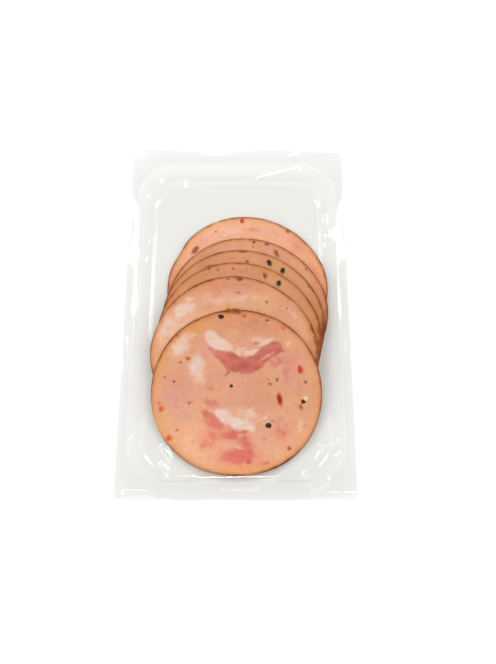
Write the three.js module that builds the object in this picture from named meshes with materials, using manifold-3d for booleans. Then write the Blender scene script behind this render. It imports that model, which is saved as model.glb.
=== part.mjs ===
// A pack of sliced ham: a clear thermoformed tray with a wide sealing flange, six round slices
// shingled along it, and a clear lid film sealed over the top.
// Millimetres, +Z up. The origin is the middle of the tray's underside. +Y runs along the pack,
// from the whole slice at the near end to the first slice at the far end.

import * as THREE from 'three';
import { mergeVertices } from 'three/addons/utils/BufferGeometryUtils.js';
import Module from 'manifold-3d';

const wasm = await Module();
wasm.setup();

const rad = THREE.MathUtils.degToRad;
const { clamp, lerp, smoothstep } = THREE.MathUtils;

// ---- driving dimensions ----------------------------------------------------------------------

const PACK = { width: 135, length: 230, cornerRadius: 3.5, flangeTop: 16 };
const CAVITY = {
  width: 122,
  length: 208,
  cornerRadius: 22,
  cornerTaper: 0.75, // the corner radius lost for each millimetre that the wall leans in
  draft: rad(10),
  floorFillet: 9.5,
  shoulderRadius: 1.5,
};
const SHEET = 0.5; // thickness of the tray's plastic
const FILM = { thickness: 0.3, clearance: 0.3, sag: 1.0 };

// The flange and the film on it are not flat: they lift and dip along each side.
const WAVES = {
  far: { height: 1.6, length: 76, crest: 23 },
  near: { height: 0.6, length: 60, crest: -10 },
  side: { height: 0.5, length: 90, crest: 12 },
  endZone: 20, // how far from an end its own wave has taken over
};

const SLICE = {
  radius: 50,
  thickness: 2,
  gap: 0.3,
  edgeRound: 0.4,
  droop: 26, // how far past a lower slice's edge a slice needs to come down again
  bendFrom: 4.5, // how far before the end of the flat floor a slice starts to bend up
  bend: 0.02, // its rise there for each square millimetre
  lobes: [
    { count: 3, height: 0.6, turn: rad(14) },
    { count: 2, height: 0.2, turn: rad(52) },
  ],
};

// Slices from the bottom of the shingle, at the far end, to the top. Places are of each slice's
// centre, and those of its peppercorns are measured from that centre. The first slice's edge has a
// flat place and the fifth's swells; the last slice is rounder than the rest and a little larger.
const SLICES = [
  { at: [6.0, 23.0], swell: { turn: rad(152), rise: -1.2, width: rad(10) }, pepper: [] },
  { at: [5.6, 5.9], pepper: [] },
  { at: [3.2, -3.9], pepper: [{ at: [16.4, 41.8], radius: 1.3 }, { at: [24.8, 36.5], radius: 1.2 }] },
  { at: [1.0, -13.9], pepper: [{ at: [24.6, 35.6], radius: 1.3 }] },
  { at: [-1.2, -24.8], swell: { turn: rad(176), rise: 1.4, width: rad(17) }, pepper: [] },
  {
    at: [0.0, -48.4],
    radius: 50.3,
    lobes: [
      { count: 3, height: 0.25, turn: rad(35) },
      { count: 2, height: 0.25, turn: rad(12) },
    ],
    pepper: [
      { at: [-9.8, 45.6], radius: 1.5 },
      { at: [18.4, -20.6], radius: 1.8 },
      { at: [39.3, -5.5], radius: 1.9 },
      { at: [-2.9, 2.0], radius: 1.0 },
    ],
  },
];
const PEPPER = { rise: 0.45, around: 8, rows: 5 };

// How finely the outlines are cut into straight stretches.
const STEPS = { corner: 6, longSide: 12, shortSide: 10, fillet: 5, shoulder: 2, slice: 44 };
const FLANGE_STOPS = [0.5, 1];
const FILM_RINGS = [0.35, 0.7, 1];
const SLICE_RINGS = [0.2, 0.4, 0.58, 0.74, 0.88, 1];

// ---- closed bodies from rings ----------------------------------------------------------------

// Joins rings of equal point counts, each anticlockwise from above, into one closed body. The
// path runs from the middle of the underside outwards, up the edge and inwards over the top. Both
// faces are split along the same diagonals, so a thin wavy sheet keeps its thickness.
function ringBody(underPole, rings, topPole) {
  const points = [underPole, ...rings.flat(), topPole];
  const count = rings[0].length;
  const at = (ring, step) => 1 + ring * count + (step % count);
  const faces = [];
  for (let step = 0; step < count; step += 1) {
    faces.push(0, at(0, step + 1), at(0, step));
    faces.push(points.length - 1, at(rings.length - 1, step), at(rings.length - 1, step + 1));
  }
  for (let ring = 0; ring + 1 < rings.length; ring += 1) {
    const outwards = ring < rings.length / 2;
    for (let step = 0; step < count; step += 1) {
      const [a, b] = [at(ring, step), at(ring, step + 1)];
      const [c, d] = [at(ring + 1, step), at(ring + 1, step + 1)];
      faces.push(...(outwards ? [a, b, d, a, d, c] : [a, b, c, b, d, c]));
    }
  }
  const geometry = new THREE.BufferGeometry().setFromPoints(points);
  geometry.setIndex(faces);
  return geometry;
}

// ---- the rounded rectangle that tray and film share ------------------------------------------

function straight(from, to, steps) {
  return Array.from({ length: steps - 1 }, (_, step) => from.clone().lerp(to, (step + 1) / steps));
}

// One ring round a rectangle with rounded corners; heightAt gives each point's height.
function roundedRing(halfWidth, halfLength, radius, heightAt) {
  const corners = [[1, 1, 0], [-1, 1, 90], [-1, -1, 180], [1, -1, 270]].map(([sideX, sideY, start]) => {
    const centre = new THREE.Vector2(sideX * (halfWidth - radius), sideY * (halfLength - radius));
    return Array.from({ length: STEPS.corner + 1 }, (_, step) => {
      const turn = rad(start + (90 * step) / STEPS.corner);
      return new THREE.Vector2(Math.cos(turn), Math.sin(turn)).multiplyScalar(radius).add(centre);
    });
  });
  const outline = corners.flatMap((corner, index) => {
    const next = corners[(index + 1) % corners.length];
    const steps = index % 2 === 0 ? STEPS.shortSide : STEPS.longSide;
    return [...corner, ...straight(corner[STEPS.corner], next[0], steps)];
  });
  return outline.map((point) => new THREE.Vector3(point.x, point.y, heightAt(point.x, point.y)));
}

const RIM = { x: CAVITY.width / 2, y: CAVITY.length / 2 };
const EDGE = { x: PACK.width / 2, y: PACK.length / 2 };

// A ring of the cavity: out is how far it lies outside the rim, skin how far the surface is
// offset from the inside of the wall.
function cavityRing(out, skin, z) {
  const radius = CAVITY.cornerRadius + CAVITY.cornerTaper * Math.min(out, 0) + Math.max(out, 0);
  return roundedRing(RIM.x + out + skin, RIM.y + out + skin, radius + skin, () => z);
}

function wave({ height, length, crest }, along) {
  return height * Math.cos((2 * Math.PI * (along - crest)) / length);
}

function flangeLift(x, y) {
  const end = smoothstep(Math.abs(y), EDGE.y - WAVES.endZone, EDGE.y);
  const endWave = wave(y > 0 ? WAVES.far : WAVES.near, x);
  return lerp(wave(WAVES.side, y), endWave, end);
}

// A ring of the flange: stop runs from 0 at the shoulder to 1 at the cut edge.
function flangeRing(stop, z) {
  const out = shoulderReach;
  return roundedRing(
    lerp(RIM.x + out, EDGE.x, stop),
    lerp(RIM.y + out, EDGE.y, stop),
    lerp(CAVITY.cornerRadius + out, PACK.cornerRadius, stop),
    (x, y) => z + flangeLift(x, y) * stop * stop,
  );
}

// ---- tray ------------------------------------------------------------------------------------

const arcSweep = Math.PI / 2 - CAVITY.draft;
const arcReach = Math.tan(arcSweep / 2); // tangent length for a radius of 1
const shoulderReach = CAVITY.shoulderRadius * arcReach;
const wallLean = (PACK.flangeTop - SHEET) * Math.tan(CAVITY.draft);
const floorOut = -(wallLean + CAVITY.floorFillet * arcReach); // where the flat floor ends

// The fillet between floor and wall, from the floor up, on the inside (skin 0) or the outside.
function filletRings(skin) {
  const radius = CAVITY.floorFillet;
  return Array.from({ length: STEPS.fillet + 1 }, (_, step) => {
    const turn = (arcSweep * step) / STEPS.fillet;
    const out = floorOut + radius * Math.sin(turn);
    const z = SHEET + radius - (radius + skin) * Math.cos(turn);
    return cavityRing(out, skin * Math.sin(turn), z);
  });
}

// The rounded shoulder between wall and flange, from the wall up.
function shoulderRings(skin) {
  const radius = CAVITY.shoulderRadius;
  return Array.from({ length: STEPS.shoulder + 1 }, (_, step) => {
    const turn = CAVITY.draft + (arcSweep * step) / STEPS.shoulder;
    const out = shoulderReach - radius * Math.cos(turn);
    const z = PACK.flangeTop - radius + (radius - skin) * Math.sin(turn);
    return cavityRing(out, skin * Math.cos(turn), z);
  });
}

// One face of the sheet, from the flat floor out to the cut edge: the inside or the outside.
function trayFace(skin) {
  const flange = FLANGE_STOPS.map((stop) => flangeRing(stop, PACK.flangeTop - skin));
  return [...filletRings(skin), ...shoulderRings(skin), ...flange];
}

function trayGeometry() {
  const rings = [...trayFace(SHEET), ...trayFace(0).reverse()];
  return ringBody(new THREE.Vector3(0, 0, 0), rings, new THREE.Vector3(0, 0, SHEET));
}

// ---- lid film --------------------------------------------------------------------------------

function filmSag(x, y) {
  return FILM.sag * clamp(1 - (x / RIM.x) ** 2, 0, 1) * clamp(1 - (y / RIM.y) ** 2, 0, 1);
}

function filmFace(z) {
  const innerRing = (scale) =>
    roundedRing(
      scale * (RIM.x + shoulderReach),
      scale * (RIM.y + shoulderReach),
      scale * (CAVITY.cornerRadius + shoulderReach),
      (x, y) => z - filmSag(x, y),
    );
  return [...FILM_RINGS.map(innerRing), ...FLANGE_STOPS.map((stop) => flangeRing(stop, z))];
}

function filmGeometry() {
  const under = PACK.flangeTop + FILM.clearance;
  const over = under + FILM.thickness;
  const middle = (z) => new THREE.Vector3(0, 0, z - FILM.sag);
  return ringBody(middle(under), [...filmFace(under), ...filmFace(over).reverse()], middle(over));
}

// ---- slices ----------------------------------------------------------------------------------

function outlineRadius({ radius = SLICE.radius, lobes = SLICE.lobes, swell }, turn) {
  const lobed = lobes.reduce(
    (sum, lobe) => sum + lobe.height * Math.cos(lobe.count * (turn + lobe.turn)),
    radius,
  );
  if (!swell) return lobed;
  const away = Math.atan2(Math.sin(turn - swell.turn), Math.cos(turn - swell.turn));
  return lobed + swell.rise * Math.exp(-((away / swell.width) ** 2));
}

// How much of a lower slice's thickness the slice above it has to clear at this place.
function cover(slice, x, y) {
  const [dx, dy] = [x - slice.at[0], y - slice.at[1]];
  const past = Math.hypot(dx, dy) - outlineRadius(slice, Math.atan2(dy, dx));
  return 0.5 + 0.5 * Math.cos(Math.PI * clamp(past / SLICE.droop, 0, 1));
}

// Height that the tray gives a slice. Over the flat floor it lies flat, and near the wall it bends
// up in a softer curve than the floor's fillet, so it stays clear of it.
function restHeight(x, y) {
  const corner = CAVITY.cornerRadius + CAVITY.cornerTaper * floorOut;
  const overX = Math.abs(x) - (RIM.x + floorOut - corner);
  const overY = Math.abs(y) - (RIM.y + floorOut - corner);
  const overCorner = Math.hypot(Math.max(overX, 0), Math.max(overY, 0));
  const pastFlat = overCorner + Math.min(Math.max(overX, overY), 0) - corner;
  return SHEET + SLICE.bend * Math.max(pastFlat + SLICE.bendFrom, 0) ** 2;
}

function underside(index, x, y) {
  const lower = SLICES.slice(0, index);
  const step = SLICE.thickness + SLICE.gap;
  return lower.reduce((z, slice) => z + step * cover(slice, x, y), restHeight(x, y) + SLICE.gap);
}

function sliceGeometry(slice, index) {
  const ring = (scale, inset, lift) =>
    Array.from({ length: STEPS.slice }, (_, step) => {
      const turn = (2 * Math.PI * step) / STEPS.slice;
      const radius = scale * (outlineRadius(slice, turn) - inset);
      const x = slice.at[0] + radius * Math.cos(turn);
      const y = slice.at[1] + radius * Math.sin(turn);
      return new THREE.Vector3(x, y, underside(index, x, y) + lift);
    });
  const pole = (lift) => new THREE.Vector3(...slice.at, underside(index, ...slice.at) + lift);
  const round = SLICE.edgeRound;
  const rings = [
    ...SLICE_RINGS.map((scale) => ring(scale, round, 0)),
    ring(1, 0, round),
    ring(1, 0, SLICE.thickness - round),
    ...SLICE_RINGS.map((scale) => ring(scale, round, SLICE.thickness)).reverse(),
  ];
  return ringBody(pole(0), rings, pole(SLICE.thickness));
}

// ---- peppercorns, cut through and standing a little proud of their slice ----------------------

function toSolid(geometry) {
  const bare = geometry.clone();
  bare.deleteAttribute('normal');
  bare.deleteAttribute('uv');
  const merged = mergeVertices(bare);
  return new wasm.Manifold(
    new wasm.Mesh({
      numProp: 3,
      vertProperties: new Float32Array(merged.attributes.position.array),
      triVerts: new Uint32Array(merged.index.array),
    }),
  );
}

function toGeometry(solid) {
  const mesh = solid.getMesh();
  const geometry = new THREE.BufferGeometry();
  geometry.setAttribute('position', new THREE.BufferAttribute(mesh.vertProperties, mesh.numProp));
  geometry.setIndex(new THREE.BufferAttribute(mesh.triVerts, 1));
  return geometry;
}

function withPepper(slice, index) {
  return slice.pepper.reduce((solid, { at, radius }) => {
    const [x, y] = [slice.at[0] + at[0], slice.at[1] + at[1]];
    const dome = new THREE.SphereGeometry(1, PEPPER.around, PEPPER.rows);
    dome.rotateX(Math.PI / 2);
    dome.scale(radius, radius, 2 * PEPPER.rise);
    dome.translate(x, y, underside(index, x, y) + SLICE.thickness - PEPPER.rise);
    return solid.add(toSolid(dome));
  }, toSolid(sliceGeometry(slice, index)));
}

// ---- the pack --------------------------------------------------------------------------------

const finishes = {
  plastic: { color: 0xf4f6f6, roughness: 0.08, metalness: 0, transparent: true, opacity: 0.3 },
  ham: { color: 0xe9a586, roughness: 0.45, metalness: 0 },
};

function piece(name, geometry, finish) {
  geometry.computeVertexNormals();
  const mesh = new THREE.Mesh(geometry, new THREE.MeshStandardMaterial(finish));
  mesh.name = name;
  return mesh;
}

const pack = new THREE.Group();
pack.add(piece('tray', trayGeometry(), finishes.plastic));
SLICES.forEach((slice, index) => {
  pack.add(piece(`ham_slice_${index + 1}`, toGeometry(withPepper(slice, index)), finishes.ham));
});
pack.add(piece('lid_film', filmGeometry(), finishes.plastic));

export default pack;
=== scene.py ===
"""A pack of sliced ham: a clear tray with a wide sealing flange, six round slices shingled along
it, and a clear lid film. Metres, +Z up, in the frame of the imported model."""

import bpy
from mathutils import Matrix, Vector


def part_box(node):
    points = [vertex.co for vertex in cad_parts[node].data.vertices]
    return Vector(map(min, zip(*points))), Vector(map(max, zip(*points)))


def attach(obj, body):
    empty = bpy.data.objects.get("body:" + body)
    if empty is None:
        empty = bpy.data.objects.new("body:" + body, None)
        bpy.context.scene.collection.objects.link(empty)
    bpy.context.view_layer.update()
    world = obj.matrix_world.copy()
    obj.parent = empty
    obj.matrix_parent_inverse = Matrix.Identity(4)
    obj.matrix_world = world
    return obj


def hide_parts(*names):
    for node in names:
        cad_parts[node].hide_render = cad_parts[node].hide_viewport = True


bl_info = {
    "name": "Pack of sliced ham",
    "version": (1, 0, 0),
    "blender": (4, 5, 0),
    "location": "View3D > Sidebar > Ham pack",
    "description": "Models a clear tray of round ham slices under a lid film, and its studio",
    "category": "Object",
}

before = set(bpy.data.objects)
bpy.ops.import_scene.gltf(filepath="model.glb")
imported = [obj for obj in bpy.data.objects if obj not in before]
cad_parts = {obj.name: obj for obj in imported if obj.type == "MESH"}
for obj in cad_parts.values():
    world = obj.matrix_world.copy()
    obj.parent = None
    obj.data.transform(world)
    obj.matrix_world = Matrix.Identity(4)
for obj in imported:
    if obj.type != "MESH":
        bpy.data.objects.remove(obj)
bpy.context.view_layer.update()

import math

import bmesh
import bpy
import numpy as np
from bpy.props import (
    FloatProperty,
    FloatVectorProperty,
    IntProperty,
    PointerProperty,
    StringProperty,
)
from mathutils import Vector, noise

MM = 0.001
SLICES = range(1, 7)
TRAY_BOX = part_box("tray")
SLICE_BOXES = {index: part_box(f"ham_slice_{index}") for index in SLICES}
BODY = "root"
PHOTO = {"width": 496, "height": 664}
SENSOR = 36.0


# ---- settings a user would change -------------------------------------------------------------


def length(name, description, millimetres):
    return FloatProperty(name=name, description=description, default=millimetres * MM, unit="LENGTH")


def angle(name, description, degrees):
    return FloatProperty(
        name=name, description=description, default=math.radians(degrees), subtype="ANGLE"
    )


def share(name, description, value):
    return FloatProperty(
        name=name, description=description, default=value, min=0, max=1, subtype="FACTOR"
    )


def colour(name, description, hex_value):
    return StringProperty(name=name, description=description + ", as an sRGB hex value", default=hex_value)


class HAMPACK_PG_tray(bpy.types.PropertyGroup):
    cavity_width: length("Cavity width", "Width of the cavity at its rim", 122)
    cavity_length: length("Cavity length", "Length of the cavity at its rim", 208)
    cavity_corner: length("Cavity corner", "Corner radius of the rim", 22)
    corner_taper: share("Corner taper", "Corner radius lost for each unit the wall leans in", 0.75)
    edge_corner: length("Edge corner", "Corner radius of the cut edge", 3.5)
    flange_top: length("Flange height", "Height of the flange's top face", 16)
    sheet: length("Sheet", "Thickness of the tray's plastic", 0.5)
    draft: angle("Draft", "How far the walls lean outwards", 10)
    floor_fillet: length("Floor fillet", "Inside radius between floor and wall", 9.5)
    shoulder: length("Shoulder", "Radius between wall and flange", 1.5)
    plastic: colour("Plastic", "Colour of a thin clear sheet", "#FAFAF9")
    # The seal's colour is partly its haze and partly painted shade under the flange.
    seal_shade: colour("Seal", "Colour of the sheet where the film is sealed to it", "#F8F8F7")


class HAMPACK_PG_lid(bpy.types.PropertyGroup):
    thickness: length("Thickness", "Thickness of the lid film", 0.3)
    clearance: length("Clearance", "Gap between the flange and the film", 0.3)
    sag: length("Sag", "How far the film sinks in the middle", 1.0)
    film: colour("Film", "Colour of the clear film", "#FEFEFE")


class HAMPACK_PG_slices(bpy.types.PropertyGroup):
    radius: length("Radius", "Radius of a slice", 50)
    thickness: length("Thickness", "Thickness of a slice", 2)
    gap: length("Gap", "Space between two slices", 0.3)
    droop: length("Droop", "How far past a lower edge a slice comes down again", 26)
    bend_from: length("Bend from", "How far before the end of the floor a slice bends up", 4.5)
    bend: FloatProperty(name="Bend", description="Rise for each square metre there", default=20)
    edge_round: length("Edge round", "Rounding of a slice's edge", 0.45)
    steps: IntProperty(name="Steps", description="Points round a slice's edge", default=280)
    paste: colour("Paste", "Cooked ham paste", "#DEA488")
    lean: colour("Lean", "Lean meat", "#B34E47")
    fat: colour("Fat", "Fat in the ham", "#E6D6CE")
    casing: colour("Casing", "Browned casing round the edge", "#7E3A10")


class HAMPACK_PG_stage(bpy.types.PropertyGroup):
    camera_place: FloatVectorProperty(
        name="Camera place",
        description="Where the camera stands",
        default=(6.8 * MM, -236.9 * MM, 524.3 * MM),
        subtype="TRANSLATION",
    )
    camera_tilt: angle("Camera tilt", "How steeply the camera looks down", 66.3)
    lens: FloatProperty(name="Lens", description="Focal length in millimetres", default=50.48)
    sky: FloatProperty(name="Sky", description="Strength of the white surroundings", default=0.27)
    key: FloatProperty(name="Key", description="Power of the key light in watts", default=8.3)
    spark: FloatProperty(
        name="Spark", description="Power in watts of each small lamp that the film mirrors", default=1.1
    )
    floor: colour("Floor", "Seamless white floor", "#F7F7F7")


# ---- colour and node helpers ------------------------------------------------------------------


def linear(hex_value, alpha=1.0):
    """An sRGB hex value as the linear colour that Blender's sockets hold."""
    channels = [int(hex_value[i : i + 2], 16) / 255 for i in (1, 3, 5)]
    return [c / 12.92 if c <= 0.04045 else ((c + 0.055) / 1.055) ** 2.4 for c in channels] + [alpha]


def add(tree, kind, inputs=None, **settings):
    """Adds one node. inputs maps a socket to a value or to the output that feeds it."""
    node = tree.nodes.new("ShaderNode" + kind)
    for name, value in settings.items():
        setattr(node, name, value)
    for socket, value in (inputs or {}).items():
        if isinstance(value, bpy.types.NodeSocket):
            tree.links.new(value, node.inputs[socket])
        else:
            node.inputs[socket].default_value = value
    return node


def new_material(name):
    material = bpy.data.materials.new(name)
    material.use_nodes = True
    material.node_tree.nodes.clear()
    return material, material.node_tree


# ---- the pack's form, worked out from its sizes ------------------------------------------------

WAVES = {
    "far": (1.6 * MM, 76 * MM, 23 * MM),
    "near": (0.6 * MM, 60 * MM, -10 * MM),
    "side": (0.5 * MM, 90 * MM, 12 * MM),
}
END_ZONE = 20 * MM
# How a slice's outline departs from a circle: waves round it as count, height and turn, and for
# some slices one swelling or flat place as turn, rise and width. The last slice is the roundest.
LOBES = ((3, 0.6 * MM, math.radians(14)), (2, 0.2 * MM, math.radians(52)))
OWN_LOBES = {6: ((3, 0.25 * MM, math.radians(35)), (2, 0.25 * MM, math.radians(12)))}
GROWTH = {6: 0.3 * MM}
SWELLS = {
    1: (math.radians(152), -1.2 * MM, math.radians(10)),
    5: (math.radians(176), 1.4 * MM, math.radians(17)),
}
# Points along a ring's corners and sides, and along the section's fillet, wall and shoulder.
CORNER_STEPS, LONG_STEPS, SHORT_STEPS = 24, 150, 80
FILLET_STEPS, WALL_STEPS, SHOULDER_STEPS = 13, 7, 6
# Rings of the flange as shares of its width, and how much of the seal's darker tint, partly
# haze and partly painted shade under the flange, each of them has.
FLANGE_STOPS = (0.08, 0.2, 0.35, 0.5, 0.65, 0.8, 0.92, 1)
SEAL_HAZE_AND_SHADE = (0.6, 1, 1, 0.95, 0.85, 0.65, 0.45, 0.3)
# Rings of the film over the cavity as shares of the rim, closer where the creases are.
FILM_SCALES = (*np.linspace(0.02, 0.7, 12), *np.linspace(0.72, 1, 24))
# Height and size of the film's ripples, of the tray's uneven walls and of the meat's top.
RIPPLE = (0.14 * MM, 17 * MM)
WALL_DRIFT = (0.2 * MM, 10 * MM)
MEAT_DRIFT = (0.05 * MM, 9 * MM)
# The film's mesh is made finer, this many times over, where a crease lifts it by this much.
CREASE_PASSES, CREASE_FOOT = 2, 0.02 * MM
# How far a peppercorn stands out of the meat, and how uneven it is as a share of its size.
PEPPER_RISE, CUT_PEPPER_RISE, PEPPER_LUMPS = 0.45 * MM, 0.65 * MM, 0.28


def settings():
    scene = bpy.context.scene
    return scene.hampack_tray, scene.hampack_lid, scene.hampack_slices, scene.hampack_stage


def smooth(low, high, value):
    t = np.clip((value - low) / (high - low), 0, 1)
    return t * t * (3 - 2 * t)


def rounded_ring(half_x, half_y, radius):
    """Points round a rectangle with rounded corners, anticlockwise from above."""
    quarter = np.linspace(0, math.pi / 2, CORNER_STEPS + 1)
    arcs = []
    for index, (side_x, side_y) in enumerate(((1, 1), (-1, 1), (-1, -1), (1, -1))):
        turns = quarter + index * math.pi / 2
        centre = np.array((side_x * (half_x - radius), side_y * (half_y - radius)))
        arcs.append(centre + radius * np.column_stack((np.cos(turns), np.sin(turns))))
    ring = []
    for index, arc in enumerate(arcs):
        steps = LONG_STEPS if index % 2 else SHORT_STEPS
        along = np.linspace(0, 1, steps + 1)[1:-1, None]
        following = arcs[(index + 1) % 4][0]
        ring += [arc, arc[-1] * (1 - along) + following * along]
    return np.vstack(ring)


def at_height(ring, z):
    return np.column_stack((ring, np.broadcast_to(z, len(ring))))


def wave(name, along):
    height, wavelength, crest = WAVES[name]
    return height * np.cos(2 * math.pi * (along - crest) / wavelength)


def flange_lift(points, half_length):
    """How far the thin flange and the film on it lift at their cut edge."""
    x, y = points.T
    end = smooth(half_length - END_ZONE, half_length, np.abs(y))
    end_wave = np.where(y > 0, wave("far", x), wave("near", x))
    return (1 - end) * wave("side", y) + end * end_wave


def ripple(points):
    """How the film and the flange under it rise and fall a little, in metres."""
    height, size = RIPPLE
    return height * np.array([noise.noise(Vector((x, y, 0)) / size) for x, y in points[:, :2]])


def drifted(ring):
    """A ring of the tray with the slow unevenness that thermoforming leaves in thin walls."""
    height, size = WALL_DRIFT
    off_floor = smooth(0.6 * MM, 6 * MM, ring[:, 2])[:, None]
    shifts = (Vector((0, 0, 0)), Vector((31, 7, 3)))
    wander = [[noise.noise(Vector(point) / size + shift) for shift in shifts] for point in ring]
    return ring + off_floor * np.column_stack((height * np.array(wander), ripple(ring)))


class Form:
    """The tray's sizes that follow from its settings and from the frame."""

    def __init__(self):
        tray, lid, _, _ = settings()
        low, high = TRAY_BOX
        self.tray, self.lid = tray, lid
        self.edge = ((high.x - low.x) / 2, (high.y - low.y) / 2)
        self.rim = (tray.cavity_width / 2, tray.cavity_length / 2)
        self.sweep = math.pi / 2 - tray.draft
        self.reach = math.tan(self.sweep / 2)
        self.shoulder_out = tray.shoulder * self.reach
        lean = (tray.flange_top - tray.sheet) * math.tan(tray.draft)
        self.floor_out = -(lean + tray.floor_fillet * self.reach)

    def cavity_ring(self, out, skin, z):
        radius = self.tray.cavity_corner + self.tray.corner_taper * min(out, 0) + max(out, 0)
        ring = rounded_ring(self.rim[0] + out + skin, self.rim[1] + out + skin, radius + skin)
        return at_height(ring, z)

    def flange_ring(self, stop, z):
        """A ring of the flange, from its shoulder at stop 0 to its cut edge at stop 1."""
        inner = self.inner_edge()
        outer = (*self.edge, self.tray.edge_corner)
        ring = rounded_ring(*(a + (b - a) * stop for a, b in zip(inner, outer)))
        return at_height(ring, z + flange_lift(ring, self.edge[1]) * stop**2)

    def inner_edge(self):
        """Half sizes and corner radius of the flange's inner edge."""
        return [side + self.shoulder_out for side in (*self.rim, self.tray.cavity_corner)]

    def on_film(self, pixel):
        """The place on the lid film that shows at a pixel of the photograph."""
        return at_level(pixel, self.tray.flange_top + self.lid.clearance + self.lid.thickness)

    def face(self, skin):
        """Rings of one face of the sheet, from the flat floor out to the cut edge."""
        tray = self.tray
        section = []
        for turn in np.linspace(0, self.sweep, FILLET_STEPS):
            out = self.floor_out + tray.floor_fillet * math.sin(turn)
            z = tray.sheet + tray.floor_fillet - (tray.floor_fillet + skin) * math.cos(turn)
            section.append((out, skin * math.sin(turn), z))
        shoulder = []
        for turn in np.linspace(tray.draft, math.pi / 2, SHOULDER_STEPS):
            out = self.shoulder_out - tray.shoulder * math.cos(turn)
            z = tray.flange_top - tray.shoulder + (tray.shoulder - skin) * math.sin(turn)
            shoulder.append((out, skin * math.cos(turn), z))
        section += list(np.linspace(section[-1], shoulder[0], WALL_STEPS)[1:-1])
        rings = [self.cavity_ring(*place) for place in section + shoulder]
        rings += [self.flange_ring(stop, tray.flange_top - skin) for stop in FLANGE_STOPS]
        return [drifted(ring) for ring in rings]


def outline_radius(index, turn):
    """A slice's radius in each direction: nearly round, with its own waves and swelling."""
    lobes = OWN_LOBES.get(index, LOBES)
    radius = settings()[2].radius + GROWTH.get(index, 0)
    radius = radius + sum(height * np.cos(count * (turn + at)) for count, height, at in lobes)
    if index in SWELLS:
        centre, rise, width = SWELLS[index]
        away = np.angle(np.exp(1j * (turn - centre)))
        radius = radius + rise * np.exp(-((away / width) ** 2))
    return radius


def slice_centre(index):
    """The slice's centre, from the box of its node."""
    low, high = SLICE_BOXES[index]
    turns = np.linspace(-math.pi, math.pi, 721)
    radius = outline_radius(index, turns)
    x, y = radius * np.cos(turns), radius * np.sin(turns)
    middle = Vector(((x.max() + x.min()) / 2, (y.max() + y.min()) / 2))
    return ((low + high) / 2).to_2d() - middle


CENTRES = {}


def cover(index, x, y):
    """How much of a slice's thickness the slice above it has to clear at this place."""
    dx, dy = x - CENTRES[index].x, y - CENTRES[index].y
    past = np.hypot(dx, dy) - outline_radius(index, np.arctan2(dy, dx))
    return 0.5 + 0.5 * np.cos(math.pi * np.clip(past / settings()[2].droop, 0, 1))


def rest_height(x, y):
    """The height that the tray gives a slice: flat on its floor, bending up near its wall."""
    tray, _, slices, _ = settings()
    form = Form()
    corner = tray.cavity_corner + tray.corner_taper * form.floor_out
    over_x = np.abs(x) - (form.rim[0] + form.floor_out - corner)
    over_y = np.abs(y) - (form.rim[1] + form.floor_out - corner)
    outside = np.hypot(np.maximum(over_x, 0), np.maximum(over_y, 0))
    past = outside + np.minimum(np.maximum(over_x, over_y), 0) - corner
    return tray.sheet + slices.bend * np.maximum(past + slices.bend_from, 0) ** 2


def underside(index, x, y):
    slices = settings()[2]
    z = rest_height(x, y) + slices.gap
    for lower in range(1, index):
        z = z + (slices.thickness + slices.gap) * cover(lower, x, y)
    return z


def at_level(pixel, z):
    """Where the line of sight through a pixel of the photograph meets a level plane."""
    stage = settings()[3]
    focal = stage.lens / SENSOR * PHOTO["height"]
    right = (pixel[0] - PHOTO["width"] / 2) / focal
    down = (pixel[1] - PHOTO["height"] / 2) / focal
    sin, cos = math.sin(stage.camera_tilt), math.cos(stage.camera_tilt)
    ray = Vector((right, cos - down * sin, -sin - down * cos))
    place = Vector(stage.camera_place)
    return np.array(place + ray * ((z - place.z) / ray.z))[:2]


def on_slice(index, pixel):
    """Where the line of sight through a pixel of the photograph meets the top of a slice."""
    z = 8 * MM
    for _ in range(8):
        point = at_level(pixel, z)
        z = float(underside(index, *point)) + settings()[2].thickness
    return point


# Creases and pulls in the lid film: both ends in the photograph's pixels, then height and half
# width in millimetres.
CREASES = (
    ((259, 178.5), (298, 168.5), 0.58, 1.5),
    ((150, 193.5), (165, 193), 0.35, 1.3),
    ((187, 179), (188, 186), 0.35, 1.3),
    ((163.5, 177), (164, 180), 0.4, 1.3),
    ((136.5, 248), (137, 256), 0.4, 1.4),
    ((150, 259), (156, 258.5), 0.35, 1.3),
    ((152, 241), (155, 236), 0.4, 1.3),
    ((313, 236), (321, 234.5), 0.55, 2.2),
    ((317, 246), (321, 243.5), 0.45, 1.6),
    ((324, 214), (324.5, 222), 0.4, 1.3),
    ((331, 228), (331.5, 237), 0.4, 1.3),
    ((164, 449), (169, 458), 0.85, 2.2),
    ((162, 466), (166, 471), 0.75, 2.0),
    ((129, 447), (133, 438), 0.5, 1.3),
    ((320, 445), (337, 441.5), 0.5, 1.3),
    ((317, 459), (321, 452), 0.5, 1.4),
    ((336, 457), (339, 453), 0.4, 1.1),
    ((303, 475), (306, 471), 0.45, 1.2),
    ((313, 488), (327, 481), 0.85, 2.4),
    ((222, 488.5), (257, 488), 0.65, 1.1),
    ((197, 479.4), (276, 478.2), 0.8, 1.3),
    ((124, 495), (148, 494), 0.6, 2.2),
    ((314, 497), (356, 496), 0.7, 1.3),
)


# ---- modelling helpers ------------------------------------------------------------------------


def deselect():
    if bpy.context.object and bpy.context.object.mode != "OBJECT":
        bpy.ops.object.mode_set(mode="OBJECT")
    bpy.ops.object.select_all(action="DESELECT")


def move_ring(piece, ring):
    """Moves the selected vertices to a ring's points, in the order of the first ring."""
    mesh = bmesh.from_edit_mesh(piece.data)
    step = mesh.verts.layers.int["step"]
    for vert in mesh.verts:
        if vert.select:
            vert.co = ring[vert[step]]
    bmesh.update_edit_mesh(piece.data)


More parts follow.
